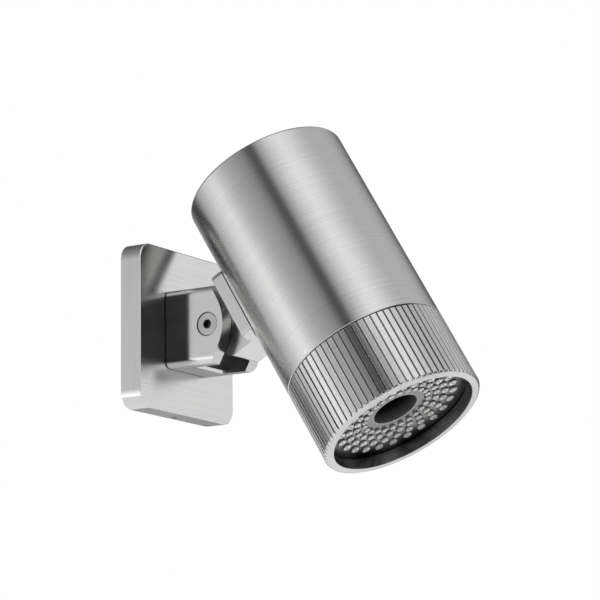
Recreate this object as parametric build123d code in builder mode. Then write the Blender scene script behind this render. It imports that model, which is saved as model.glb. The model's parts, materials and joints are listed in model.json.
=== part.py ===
"""Wall shower head: a square plate, a forked arm and a tilting cylinder with a turning spray front.

Origin: centre of the plate's back, on the wall. +Z is up and the front faces -Y.
All lengths are millimetres and all angles degrees.
"""
import os
from math import cos, radians, sin, sqrt, tan

from build123d import *

os.makedirs("parts", exist_ok=True)

# Wall plate
plate_width = 80.0
plate_thickness = 11.3
plate_corner_radius = 8.0
plate_bevel = 0.4
plate_side_wall = 4.0
plate_front_wall = 4.3

# Bracket behind the plate, its wall screws and the grub screw that locks the plate to it
bracket_thickness = 6.0
bracket_clearance = 0.3
wall_screw_spacing = 52.0
wall_screw_hole = 5.5
wall_screw_head = 10.5
grub_diameter = 4.0
grub_socket = 2.0
grub_recess = 0.3

# Seal in the plate's back rim
seal_inset = 1.2
seal_width = 1.6
seal_depth = 1.2

# Water inlet
inlet_thread_diameter = 20.96
inlet_thread_length = 14.0
inlet_thread_lead = 1.0
inlet_collar_diameter = 25.0
inlet_collar_length = 5.0
inlet_bore = 9.0
inlet_spigot = 16.0
inlet_spigot_reach = 8.0
inlet_socket = 10.0
inlet_seal_inset = 2.9
filter_diameter = 15.0
filter_thickness = 1.2
filter_recess = 1.0
filter_mesh_rings = 2
filter_mesh_hole = 1.6
filter_mesh_pitch = 2.6

# Forked arm
arm_width = 38.0
arm_height = 37.8
arm_edge_radius = 3.5
arm_gasket_thickness = 0.5
arm_gasket_inset = 0.5
arm_tip = 44.3
arm_nose_radius = 24.0
arm_nose_angle = 28.0
slot_width = 22.6
slot_floor = 25.4
slot_chamfer = 1.3
arm_socket_depth = 9.5
arm_channel = 4.0
arm_channel_entry = 2.7
arm_screw_diameter = 5.0
arm_screw_head = 9.4
arm_screw_spacing = 26.0
arm_screw_grip = 8.0
arm_screw_socket = 3.0

# Pivot bolt
pivot_reach = 35.5
pivot_diameter = 10.0
pivot_head_diameter = 11.2
pivot_head_thickness = 3.4
pivot_head_recess = 0.2
pivot_head_gap = 0.3
pivot_socket = 4.0
pivot_socket_depth = 2.6
pivot_thread = 4.0
pivot_bore = 5.0
pivot_port = 3.0
pivot_ear_floor = 1.7
pivot_seal_offset = 6.5

# Swivel block: the knuckle between the fork's ears and the saddle on the cylinder
max_tilt = 30.6
knuckle_side_gap = 0.3
knuckle_radius = 9.5
knuckle_height = 36.6
knuckle_corner_radius = 5.0
saddle_corner_radius = 3.8
saddle_edge_radius = 0.6
saddle_thickness = 2.1
saddle_gasket_thickness = 0.4
saddle_gasket_inset = 0.4
saddle_screw_diameter = 4.0
saddle_screw_head = 7.0
saddle_screw_head_height = 4.0
saddle_screw_socket = 3.0
saddle_screw_across = 15.0
saddle_screw_along = 25.0
saddle_screw_grip = 8.0
washer_diameter = 16.0
washer_seat_depth = 1.35
washer_side_gap = 0.1
water_channel = 6.0

# Cylinder
pivot_stand_off = 15.1
pivot_height = 96.65
head_length = 147.0
head_radius = 40.5
shell_wall = 3.0
shell_top = 4.0
shell_top_fillet = 1.3
seam_gap = 0.4
seam_bevel = 0.3

# Feed block and tube inside the cylinder
feed_inset = 8.5
feed_block_width = 24.0
feed_block_length = 36.0
feed_block_depth = 15.4
feed_block_corner = 3.0
feed_block_gap = 0.1
feed_spigot = 10.0
feed_spigot_depth = 3.0
feed_tube_diameter = 8.0
feed_tube_wall = 1.0
feed_tube_socket = 8.0
limiter_thickness = 2.5
limiter_hole = 2.5
limiter_drop = 8.0

# Fixed core that closes the cylinder
core_flange_length = 15.5
core_flange_rise = 1.0
core_floor = 4.0
core_wall = 4.4
core_hub_radius = 9.0
core_hub_height = 18.0
core_inlet_boss = 6.2
core_inlet_rise = 2.0
glide_height = 4.0
glide_thickness = 1.5
glide_rise = 1.3

# Turning front
ring_height = 39.0
ring_wall = 4.5
ring_ledge = 1.0
ring_rim_bevel = 1.2
ring_grooves = 75
ring_groove_start = 2.0
ring_groove_width = 0.6
ring_groove_depth = 0.6
front_turn = 90.0
distributor_top = 31.0
distributor_disc = 4.0
distributor_wall = 2.7
duct_width = 9.0
duct_height = 6.0
duct_wall = 1.5
stop_pin_diameter = 3.0
stop_pin_inset = 5.5
stop_slot_depth = 3.0

# Spray face
face_lip_height = 6.2
face_lip_width = 2.0
face_land_height = 8.3
face_land_width = 2.8
face_thickness = 1.2
jet_collar_wall = 1.2
jet_collar_top = 20.0
jet_insert_thickness = 2.5
jet_hole = 1.8
jet_holes = 12
mat_thickness = 1.2
nozzle_rings = 4
nozzles_per_ring = 24
nozzle_inner_margin = 2.6
nozzle_outer_margin = 4.65
nozzle_ring_pitch = 4.25
nozzle_ring_twist = 4.4
nozzle_start_angle = 11.2
nozzle_tip_radius = 1.35
nozzle_tip_growth = 0.23
nozzle_stand_out = 0.9
nozzle_taper = 5.0

# Centre bolt that the front turns on
bolt_diameter = 8.0
bolt_head_diameter = 13.0
bolt_head_height = 3.9
bolt_socket = 5.0
bolt_grip = 14.0
thrust_washer_thickness = 1.4
thrust_washer_diameter = 15.0

# Fits and seals
screw_clearance = 0.1
thread_run_out = 1.0
fit_clearance = 0.05
turning_gap = 0.3
cord_groove_depth = 1.3
cord_groove_length = 1.8


def out_from_wall(distance):
    """Plane parallel to the wall, with its normal pointing out of it."""
    return Plane.XZ.offset(distance)


def hexagon_radius(across_flats):
    """Corner radius of a hexagon with this width across its flats."""
    return across_flats / sqrt(3)


# Places shared by the pieces on the wall
arm_base = plate_thickness + arm_gasket_thickness
pocket_depth = plate_thickness - plate_front_wall
pocket_width = plate_width - 2 * plate_side_wall
pocket_corner_radius = plate_corner_radius - plate_side_wall
bracket_width = pocket_width - 2 * bracket_clearance
seal_outer_width = plate_width - 2 * seal_inset
seal_inner_width = seal_outer_width - 2 * seal_width
grub_out = (seal_depth + bracket_thickness) / 2
pocket_floor = Plane(origin=(0, -pocket_depth, 0), x_dir=(1, 0, 0), z_dir=(0, 1, 0))
arm_screw_head_depth = (arm_screw_head - arm_screw_diameter) / 2
inlet_end = arm_base + inlet_spigot_reach
ear_middle = (arm_width + slot_width) / 4

# Pivot frame: local x runs along the pivot, local y is up
pivot = Vector(0, -pivot_reach, 0)
pivot_section = out_from_wall(pivot_reach)
pivot_axis = Axis(pivot, (1, 0, 0))
pivot_head_seat = arm_width / 2 - pivot_head_recess - pivot_head_thickness
pivot_tip = slot_width / 2 + pivot_thread
pivot_blind_end = arm_width / 2 - pivot_ear_floor
knuckle_width = slot_width - 2 * knuckle_side_gap

# Radii and reaches that follow from the cylinder's radius
saddle_width = arm_width
swivel_reach = head_radius + pivot_stand_off
saddle_face = head_radius + saddle_thickness
saddle_reach = swivel_reach - saddle_face
saddle_skin = head_radius + saddle_gasket_thickness
shell_bore = head_radius - shell_wall
feed_offset = shell_bore - feed_inset
ring_recess_radius = head_radius - ring_wall
ring_bore = ring_recess_radius + ring_ledge
stop_pin_radius = ring_bore - stop_pin_inset
face_lip_radius = ring_recess_radius - face_lip_width
nozzle_first_radius = face_lip_radius - nozzle_outer_margin - (nozzle_rings - 1) * nozzle_ring_pitch
face_land_radius = nozzle_first_radius - nozzle_inner_margin
jet_radius = face_land_radius - face_land_width

# Head frame: head_up runs from the rim to the closed top, head_arm from the axis to the wall
head_up = Vector(0, sin(radians(max_tilt)), cos(radians(max_tilt)))
head_arm = Vector(0, cos(radians(max_tilt)), -sin(radians(max_tilt)))
rim_centre = pivot - head_arm * swivel_reach - head_up * pivot_height
head_axis = Axis(rim_centre, head_up)
head_section = Plane(origin=rim_centre, x_dir=(1, 0, 0), z_dir=-head_arm)
knuckle_side = Plane(origin=pivot, x_dir=head_arm, z_dir=(1, 0, 0))
core_bottom = distributor_top + turning_gap
core_flange_bottom = ring_height + seam_gap + core_flange_rise
core_top = core_flange_bottom + core_flange_length
core_boss_top = core_top + core_inlet_rise
core_radius = ring_bore - seam_gap
glide_bottom = core_bottom + glide_rise
tube_bottom = core_boss_top - feed_tube_socket
limiter_top = pivot_height - limiter_drop
tube_top = limiter_top - limiter_thickness
disc_underside = distributor_top - distributor_disc
bolt_head_top = disc_underside - thrust_washer_thickness - 2 * fit_clearance
bolt_head_bottom = bolt_head_top - bolt_head_height


def level(height):
    """Plane across the head at this height above the rim; local y points to the wall."""
    return Plane(origin=rim_centre + head_up * height, x_dir=(1, 0, 0), z_dir=head_up)


def port(reach):
    """Plane square to the saddle at this reach from the head axis, facing the wall."""
    centre = rim_centre + head_up * pivot_height + head_arm * reach
    return Plane(origin=centre, x_dir=(1, 0, 0), z_dir=head_arm)


def face_height(radius):
    """Height of the spray face above the rim at this radius on its slope."""
    slope = (face_land_height - face_lip_height) / (face_lip_radius - face_land_radius)
    return face_land_height - slope * (radius - face_land_radius)


def nozzle_ring(index):
    """Radius, first angle and tip radius of one ring of nozzles, counted from the centre."""
    return (
        nozzle_first_radius + index * nozzle_ring_pitch,
        nozzle_start_angle + index * nozzle_ring_twist,
        nozzle_tip_radius + index * nozzle_tip_growth,
    )


def cord_seal(centre, axis_direction, shaft_radius, middle):
    """Round-section seal in a groove of the standard depth, flush with its shaft."""
    cord_radius = cord_groove_depth / 2
    direction = Vector(*axis_direction)
    middle_point = Vector(*centre) + direction * middle
    across = Vector(0, 0, 1) if abs(direction.X) > 0 else Vector(1, 0, 0)
    section = Plane(origin=middle_point, x_dir=across, z_dir=direction.cross(across))
    with BuildPart() as seal:
        with BuildSketch(section):
            with Locations((shaft_radius - cord_radius, 0)):
                Circle(cord_radius)
        revolve(axis=Axis(middle_point, direction))
    return seal


# Wall plate: a square block hollowed from behind
with BuildPart() as wall_plate:
    with BuildSketch(out_from_wall(0)):
        RectangleRounded(plate_width, plate_width, plate_corner_radius)
    extrude(amount=plate_thickness)
    chamfer(wall_plate.faces().sort_by(Axis.Y)[0].edges(), plate_bevel)
    with BuildSketch(out_from_wall(0)):
        RectangleRounded(pocket_width, pocket_width, pocket_corner_radius)
    extrude(amount=pocket_depth, mode=Mode.SUBTRACT)
    with BuildSketch(out_from_wall(0)):
        RectangleRounded(seal_outer_width, seal_outer_width, plate_corner_radius - seal_inset)
        RectangleRounded(
            seal_inner_width, seal_inner_width, plate_corner_radius - seal_inset - seal_width, mode=Mode.SUBTRACT
        )
    extrude(amount=seal_depth, mode=Mode.SUBTRACT)
    with BuildSketch(out_from_wall(0)):
        Circle(inlet_spigot / 2 + screw_clearance)
    extrude(amount=plate_thickness, mode=Mode.SUBTRACT)
    with Locations(pocket_floor):
        with GridLocations(arm_screw_spacing, arm_screw_spacing, 2, 2):
            CounterSinkHole(arm_screw_diameter / 2 + screw_clearance, arm_screw_head / 2 + screw_clearance)
    with BuildSketch(Plane.XY.offset(-plate_width / 2)):
        with Locations((0, -grub_out)):
            Circle(grub_diameter / 2 + fit_clearance)
    extrude(amount=plate_side_wall, mode=Mode.SUBTRACT)

# Seal that lies in the plate's back rim against the wall
with BuildPart() as wall_seal:
    with BuildSketch(out_from_wall(0)):
        RectangleRounded(seal_outer_width, seal_outer_width, plate_corner_radius - seal_inset)
        RectangleRounded(
            seal_inner_width, seal_inner_width, plate_corner_radius - seal_inset - seal_width, mode=Mode.SUBTRACT
        )
    extrude(amount=seal_depth)

# Bracket that is screwed to the wall and fills the plate's pocket
with BuildPart() as wall_bracket:
    with BuildSketch(out_from_wall(0)):
        RectangleRounded(bracket_width, bracket_width, pocket_corner_radius - bracket_clearance)
        Circle(inlet_collar_diameter / 2 + turning_gap, mode=Mode.SUBTRACT)
    extrude(amount=bracket_thickness)
    with Locations(out_from_wall(bracket_thickness)):
        with GridLocations(wall_screw_spacing, wall_screw_spacing, 2, 2):
            CounterSinkHole(wall_screw_hole / 2, wall_screw_head / 2)

# Grub screw through the plate's lower wall, tight against the bracket
with BuildPart() as plate_grub_screw:
    with BuildSketch(Plane.XY.offset(-plate_width / 2 + grub_recess)):
        with Locations((0, -grub_out)):
            Circle(grub_diameter / 2)
    extrude(amount=(plate_width - bracket_width) / 2 - grub_recess)
    chamfer(plate_grub_screw.edges().group_by(Axis.Z)[-1], grub_diameter / 8)
    with BuildSketch(Plane.XY.offset(-plate_width / 2 + grub_recess)):
        with Locations((0, -grub_out)):
            RegularPolygon(hexagon_radius(grub_socket), 6)
    extrude(amount=grub_socket, mode=Mode.SUBTRACT)

# Inlet nipple: its thread goes into the wall and its spigot into the arm
with BuildPart() as inlet_nipple:
    thread_radius = inlet_thread_diameter / 2
    spigot_radius = inlet_spigot / 2
    filter_seat = inlet_thread_length - filter_thickness - filter_recess
    groove_start = inlet_end - inlet_seal_inset - cord_groove_length / 2
    with BuildSketch(Plane.XY):
        with BuildLine():
            Polyline(
                (inlet_bore / 2, filter_seat),
                (filter_diameter / 2 + fit_clearance, filter_seat),
                (filter_diameter / 2 + fit_clearance, inlet_thread_length),
                (thread_radius - inlet_thread_lead, inlet_thread_length),
                (thread_radius, inlet_thread_length - inlet_thread_lead),
                (thread_radius, 0),
                (inlet_collar_diameter / 2, 0),
                (inlet_collar_diameter / 2, -inlet_collar_length),
                (spigot_radius, -inlet_collar_length),
                (spigot_radius, -groove_start),
                (spigot_radius - cord_groove_depth, -groove_start),
                (spigot_radius - cord_groove_depth, -groove_start - cord_groove_length),
                (spigot_radius, -groove_start - cord_groove_length),
                (spigot_radius, -inlet_end),
                (inlet_bore / 2, -inlet_end),
                close=True,
            )
        make_face()
    revolve(axis=Axis.Y)
    with BuildSketch(out_from_wall(inlet_end)):
        RegularPolygon(hexagon_radius(inlet_socket), 6)
    extrude(amount=-inlet_spigot_reach, mode=Mode.SUBTRACT)

nipple_seal = cord_seal((0, 0, 0), (0, -1, 0), inlet_spigot / 2, inlet_end - inlet_seal_inset)

# Filter screen seated in the mouth of the inlet
with BuildPart() as filter_screen:
    with BuildSketch(out_from_wall(filter_recess - inlet_thread_length)):
        Circle(filter_diameter / 2)
        Circle(filter_mesh_hole / 2, mode=Mode.SUBTRACT)
        for mesh_ring in range(1, filter_mesh_rings + 1):
            with PolarLocations(mesh_ring * filter_mesh_pitch, 6 * mesh_ring):
                Circle(filter_mesh_hole / 2, mode=Mode.SUBTRACT)
    extrude(amount=filter_thickness)

# Screws that hold the arm on the plate, driven from the pocket
with BuildPart() as arm_screws:
    with BuildSketch(out_from_wall(pocket_depth)):
        with GridLocations(arm_screw_spacing, arm_screw_spacing, 2, 2):
            Circle(arm_screw_head / 2)
    extrude(amount=arm_screw_head_depth, taper=45)
    with BuildSketch(out_from_wall(pocket_depth)):
        with GridLocations(arm_screw_spacing, arm_screw_spacing, 2, 2):
            Circle(arm_screw_diameter / 2)
    extrude(amount=arm_base - pocket_depth + arm_screw_grip)
    with BuildSketch(out_from_wall(pocket_depth)):
        with GridLocations(arm_screw_spacing, arm_screw_spacing, 2, 2):
            RegularPolygon(hexagon_radius(arm_screw_socket), 6)
    extrude(amount=arm_screw_head_depth, mode=Mode.SUBTRACT)

# Gasket between the plate and the arm
with BuildPart() as arm_gasket:
    with BuildSketch(out_from_wall(plate_thickness)):
        RectangleRounded(
            arm_width - 2 * arm_gasket_inset, arm_height - 2 * arm_gasket_inset, arm_edge_radius - arm_gasket_inset
        )
        Circle(inlet_spigot / 2 + screw_clearance, mode=Mode.SUBTRACT)
        with GridLocations(arm_screw_spacing, arm_screw_spacing, 2, 2):
            Circle(arm_screw_diameter / 2 + screw_clearance, mode=Mode.SUBTRACT)
    extrude(amount=arm_gasket_thickness)

# Forked arm: one block with a rounded nose, slotted for the knuckle
with BuildPart() as fork_arm:
    nose_angle = radians(arm_nose_angle)
    nose_end_height = arm_nose_radius * sin(nose_angle)
    nose_end_out = arm_tip - arm_nose_radius * (1 - cos(nose_angle))
    shoulder_out = nose_end_out - (arm_height / 2 - nose_end_height) * tan(nose_angle)
    with BuildSketch(Plane.YZ):
        with BuildLine():
            Polyline((-nose_end_out, nose_end_height), (-shoulder_out, arm_height / 2), (-arm_base, arm_height / 2))
            Line((-arm_base, arm_height / 2), (-arm_base, -arm_height / 2))
            Polyline((-arm_base, -arm_height / 2), (-shoulder_out, -arm_height / 2), (-nose_end_out, -nose_end_height))
            ThreePointArc((-nose_end_out, -nose_end_height), (-arm_tip, 0), (-nose_end_out, nose_end_height))
        make_face()
    extrude(amount=arm_width / 2, both=True)
    fillet(fork_arm.edges().filter_by(Axis.Y), arm_edge_radius)
    with BuildSketch(out_from_wall(slot_floor)):
        Rectangle(slot_width, arm_height)
    extrude(amount=arm_tip - slot_floor, mode=Mode.SUBTRACT)
    slot_floor_face = fork_arm.faces().filter_by(Plane.XZ).sort_by(Axis.Y)[0]
    chamfer(slot_floor_face.edges().filter_by(Axis.X), slot_chamfer)
    # Socket for the nipple's spigot and tapped holes for the plate's screws
    with BuildSketch(out_from_wall(arm_base)):
        Circle(inlet_spigot / 2 + fit_clearance)
    extrude(amount=arm_socket_depth, mode=Mode.SUBTRACT)
    with BuildSketch(out_from_wall(arm_base)):
        with GridLocations(arm_screw_spacing, arm_screw_spacing, 2, 2):
            Circle(arm_screw_diameter / 2 + fit_clearance)
    extrude(amount=arm_screw_grip + thread_run_out, mode=Mode.SUBTRACT)
    # Water way: a slanting hole from the socket meets the hole along the right ear
    with BuildSketch(out_from_wall(arm_base)):
        with Locations((ear_middle, 0)):
            Circle(arm_channel / 2)
    extrude(amount=pivot_reach - arm_base, mode=Mode.SUBTRACT)
    channel_start = Vector(ear_middle, -(arm_base + ear_middle - arm_channel_entry), 0)
    with BuildSketch(Plane(origin=channel_start, x_dir=(0, 0, 1), z_dir=(-1, 1, 0))):
        Circle(arm_channel / 2)
    extrude(amount=ear_middle, mode=Mode.SUBTRACT)
    # Pivot hole: recess and clearance hole in the left ear, blind tapped hole in the right
    with BuildSketch(Plane.YZ.offset(-arm_width / 2)):
        with Locations((-pivot_reach, 0)):
            Circle(pivot_head_diameter / 2 + pivot_head_gap)
    extrude(amount=arm_width / 2 - pivot_head_seat, mode=Mode.SUBTRACT)
    with BuildSketch(Plane.YZ.offset(-arm_width / 2)):
        with Locations((-pivot_reach, 0)):
            Circle(pivot_diameter / 2 + fit_clearance)
    extrude(amount=arm_width / 2 + pivot_blind_end, mode=Mode.SUBTRACT)

# Pivot bolt: a hollow bolt that passes the water from the right ear into the knuckle
with BuildPart() as pivot_bolt:
    bolt_radius = pivot_diameter / 2
    groove_radius = bolt_radius - cord_groove_depth
    half_groove = cord_groove_length / 2
    with BuildSketch(pivot_section):
        with BuildLine():
            Polyline(
                (-pivot_head_seat - pivot_head_thickness, 0),
                (-pivot_head_seat - pivot_head_thickness, pivot_head_diameter / 2),
                (-pivot_head_seat, pivot_head_diameter / 2),
                (-pivot_head_seat, bolt_radius),
                (-pivot_seal_offset - half_groove, bolt_radius),
                (-pivot_seal_offset - half_groove, groove_radius),
                (-pivot_seal_offset + half_groove, groove_radius),
                (-pivot_seal_offset + half_groove, bolt_radius),
                (pivot_seal_offset - half_groove, bolt_radius),
                (pivot_seal_offset - half_groove, groove_radius),
                (pivot_seal_offset + half_groove, groove_radius),
                (pivot_seal_offset + half_groove, bolt_radius),
                (pivot_tip, bolt_radius),
                (pivot_tip, pivot_bore / 2),
                (-pivot_port, pivot_bore / 2),
                (-pivot_port, 0),
                close=True,
            )
        make_face()
    revolve(axis=pivot_axis)
    chamfer(pivot_bolt.edges().group_by(Axis.X)[0], pivot_head_gap)
    with BuildSketch(Plane.YZ.offset(-pivot_head_seat - pivot_head_thickness)):
        with Locations((-pivot_reach, 0)):
            RegularPolygon(hexagon_radius(pivot_socket), 6)
    extrude(amount=pivot_socket_depth, mode=Mode.SUBTRACT)
    for port_direction in (head_arm, head_up):
        with BuildSketch(Plane(origin=pivot, x_dir=(1, 0, 0), z_dir=port_direction)):
            Circle(pivot_port / 2)
        extrude(amount=pivot_diameter, both=True, mode=Mode.SUBTRACT)

pivot_seal_left = cord_seal((0, -pivot_reach, 0), (1, 0, 0), pivot_diameter / 2, -pivot_seal_offset)
pivot_seal_right = cord_seal((0, -pivot_reach, 0), (1, 0, 0), pivot_diameter / 2, pivot_seal_offset)

# Swivel block: knuckle with stop flats at the two ends of the tilt, and the saddle
with BuildPart() as swivel_block:
    stop_angle = radians(max_tilt)
    root = saddle_reach + saddle_edge_radius
    flat_start = (knuckle_radius * cos(stop_angle), knuckle_radius * sin(stop_angle))
    flat_end = flat_start[0] - (knuckle_height / 2 - flat_start[1]) * tan(stop_angle)
    with BuildSketch(port(head_radius / 2)):
        RectangleRounded(saddle_width, saddle_width, saddle_corner_radius)
    extrude(amount=saddle_face - head_radius / 2)
    saddle_back = swivel_block.faces().sort_by(Axis(rim_centre, head_arm))[-1]
    fillet(saddle_back.edges(), saddle_edge_radius)
    with BuildSketch(knuckle_side):
        with BuildLine():
            Polyline((flat_start[0], flat_start[1]), (flat_end, knuckle_height / 2), (-root, knuckle_height / 2))
            Line((-root, knuckle_height / 2), (-root, -knuckle_height / 2))
            Polyline((-root, -knuckle_height / 2), (flat_end, -knuckle_height / 2), (flat_start[0], -flat_start[1]))
            ThreePointArc((flat_start[0], -flat_start[1]), (knuckle_radius, 0), (flat_start[0], flat_start[1]))
        make_face()
    extrude(amount=knuckle_width / 2, both=True)
    corners = swivel_block.edges().filter_by(Axis.X)
    shoulder_edges = corners.filter_by(lambda edge: abs(knuckle_side.to_local_coords(edge.center()).X - flat_end) < knuckle_corner_radius)
    fillet(shoulder_edges, knuckle_corner_radius)
    with BuildSketch(level(0)):
        Circle(saddle_skin)
    extrude(amount=head_length, mode=Mode.SUBTRACT)
    # Bore for the pivot bolt, with a washer seat on each side
    with BuildSketch(knuckle_side.offset(-knuckle_width / 2)):
        Circle(pivot_diameter / 2 + fit_clearance)
    extrude(amount=knuckle_width, mode=Mode.SUBTRACT)
    for side in (-1, 1):
        with BuildSketch(knuckle_side.offset(side * knuckle_width / 2)):
            Circle(washer_diameter / 2 + fit_clearance)
        extrude(amount=-side * washer_seat_depth, mode=Mode.SUBTRACT)
    # Water way from the bore to the feed block's spigot, and tapped holes
    with BuildSketch(port(swivel_reach)):
        Circle(water_channel / 2)
    extrude(amount=head_radius - swivel_reach, mode=Mode.SUBTRACT)
    with BuildSketch(port(head_radius)):
        Circle(feed_spigot / 2 + fit_clearance)
    extrude(amount=saddle_gasket_thickness + feed_spigot_depth, mode=Mode.SUBTRACT)
    with BuildSketch(port(head_radius / 2)):
        with GridLocations(saddle_screw_across, saddle_screw_along, 2, 2):
            Circle(saddle_screw_diameter / 2 + fit_clearance)
    extrude(amount=head_radius / 2 + saddle_screw_grip, mode=Mode.SUBTRACT)


def friction_washer(side):
    """Washer in the knuckle's seat, standing almost to the ear on this side."""
    inner_face = knuckle_width / 2 - washer_seat_depth
    outer_face = slot_width / 2 - washer_side_gap
    with BuildPart() as washer:
        with BuildSketch(knuckle_side.offset(side * inner_face)):
            Circle(washer_diameter / 2)
            Circle(pivot_diameter / 2 + screw_clearance, mode=Mode.SUBTRACT)
        extrude(amount=side * (outer_face - inner_face))
    return washer


friction_washer_left = friction_washer(-1)
friction_washer_right = friction_washer(1)

# Gasket between the saddle and the cylinder
with BuildPart() as saddle_gasket:
    with BuildSketch(port(head_radius / 2)):
        RectangleRounded(
            saddle_width - 2 * saddle_gasket_inset,
            saddle_width - 2 * saddle_gasket_inset,
            saddle_corner_radius - saddle_gasket_inset,
        )
        Circle(feed_spigot / 2 + screw_clearance, mode=Mode.SUBTRACT)
        with GridLocations(saddle_screw_across, saddle_screw_along, 2, 2):
            Circle(saddle_screw_diameter / 2 + screw_clearance, mode=Mode.SUBTRACT)
    extrude(amount=head_radius)
    with BuildSketch(level(0)):
        Circle(saddle_skin)
    extrude(amount=head_length, mode=Mode.INTERSECT)
    with BuildSketch(level(0)):
        Circle(head_radius + fit_clearance)
    extrude(amount=head_length, mode=Mode.SUBTRACT)

# Cylinder shell, closed at the top
with BuildPart() as head_shell:
    shell_bottom = ring_height + seam_gap
    with BuildSketch(head_section):
        with BuildLine():
            Polyline(
                (shell_bore, shell_bottom),
                (head_radius - seam_bevel, shell_bottom),
                (head_radius, shell_bottom + seam_bevel),
                (head_radius, head_length),
                (0, head_length),
                (0, head_length - shell_top),
                (shell_bore, head_length - shell_top),
                close=True,
            )
        make_face()
    revolve(axis=head_axis)
    top_face = head_shell.faces().filter_by(GeomType.PLANE).sort_by(Axis(rim_centre, head_up))[-1]
    fillet(top_face.edges(), shell_top_fillet)
    with BuildSketch(port(shell_bore / 2)):
        Circle(feed_spigot / 2 + screw_clearance)
        with GridLocations(saddle_screw_across, saddle_screw_along, 2, 2):
            Circle(saddle_screw_diameter / 2 + screw_clearance)
    extrude(amount=head_radius, mode=Mode.SUBTRACT)

# Feed block: takes the water through the shell and turns it down into the tube
feed_face = shell_bore - feed_block_gap
feed_block_back = feed_face - feed_block_depth
feed_spigot_end = saddle_skin + feed_spigot_depth
feed_groove_middle = feed_spigot_end - cord_groove_length
with BuildPart() as feed_block:
    with BuildSketch(port(feed_block_back)):
        RectangleRounded(feed_block_width, feed_block_length, feed_block_corner)
    extrude(amount=feed_block_depth)
    with BuildSketch(level(0)):
        Circle(feed_face)
    extrude(amount=head_length, mode=Mode.INTERSECT)
    with BuildSketch(port(feed_offset)):
        Circle(feed_spigot / 2)
    extrude(amount=feed_spigot_end - feed_offset)
    with BuildSketch(port(feed_groove_middle - cord_groove_length / 2)):
        Circle(feed_spigot / 2)
        Circle(feed_spigot / 2 - cord_groove_depth, mode=Mode.SUBTRACT)
    extrude(amount=cord_groove_length, mode=Mode.SUBTRACT)
    with BuildSketch(port(feed_offset)):
        Circle(water_channel / 2)
    extrude(amount=feed_spigot_end - feed_offset, mode=Mode.SUBTRACT)
    with BuildSketch(level(pivot_height)):
        with Locations((0, feed_offset)):
            Circle(water_channel / 2)
    extrude(amount=-feed_block_length / 2, mode=Mode.SUBTRACT)
    with BuildSketch(level(limiter_top)):
        with Locations((0, feed_offset)):
            Circle(feed_tube_diameter / 2 + fit_clearance)
    extrude(amount=-feed_block_length, mode=Mode.SUBTRACT)
    with BuildSketch(port(feed_block_back)):
        with GridLocations(saddle_screw_across, saddle_screw_along, 2, 2):
            Circle(saddle_screw_diameter / 2 + screw_clearance)
    extrude(amount=feed_block_depth, mode=Mode.SUBTRACT)

feed_seal = cord_seal(port(0).origin, head_arm, feed_spigot / 2, feed_groove_middle)

# Screws that clamp feed block, shell, gasket and swivel block together
with BuildPart() as saddle_screws:
    with BuildSketch(port(feed_block_back)):
        with GridLocations(saddle_screw_across, saddle_screw_along, 2, 2):
            Circle(saddle_screw_head / 2)
    extrude(amount=-saddle_screw_head_height)
    with BuildSketch(port(feed_block_back)):
        with GridLocations(saddle_screw_across, saddle_screw_along, 2, 2):
            Circle(saddle_screw_diameter / 2)
    extrude(amount=head_radius + saddle_screw_grip - thread_run_out - feed_block_back)
    with BuildSketch(port(feed_block_back - saddle_screw_head_height)):
        with GridLocations(saddle_screw_across, saddle_screw_along, 2, 2):
            RegularPolygon(hexagon_radius(saddle_screw_socket), 6)
    extrude(amount=saddle_screw_head_height / 2, mode=Mode.SUBTRACT)

# Flow limiter above the tube, in the feed block
with BuildPart() as flow_limiter:
    with BuildSketch(level(tube_top)):
        with Locations((0, feed_offset)):
            Circle(feed_tube_diameter / 2)
            Circle(limiter_hole / 2, mode=Mode.SUBTRACT)
    extrude(amount=limiter_thickness)

# Tube from the feed block down to the core
with BuildPart() as feed_tube:
    with BuildSketch(level(tube_bottom)):
        with Locations((0, feed_offset)):
            Circle(feed_tube_diameter / 2)
            Circle(feed_tube_diameter / 2 - feed_tube_wall, mode=Mode.SUBTRACT)
    extrude(amount=tube_top - tube_bottom)

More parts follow.
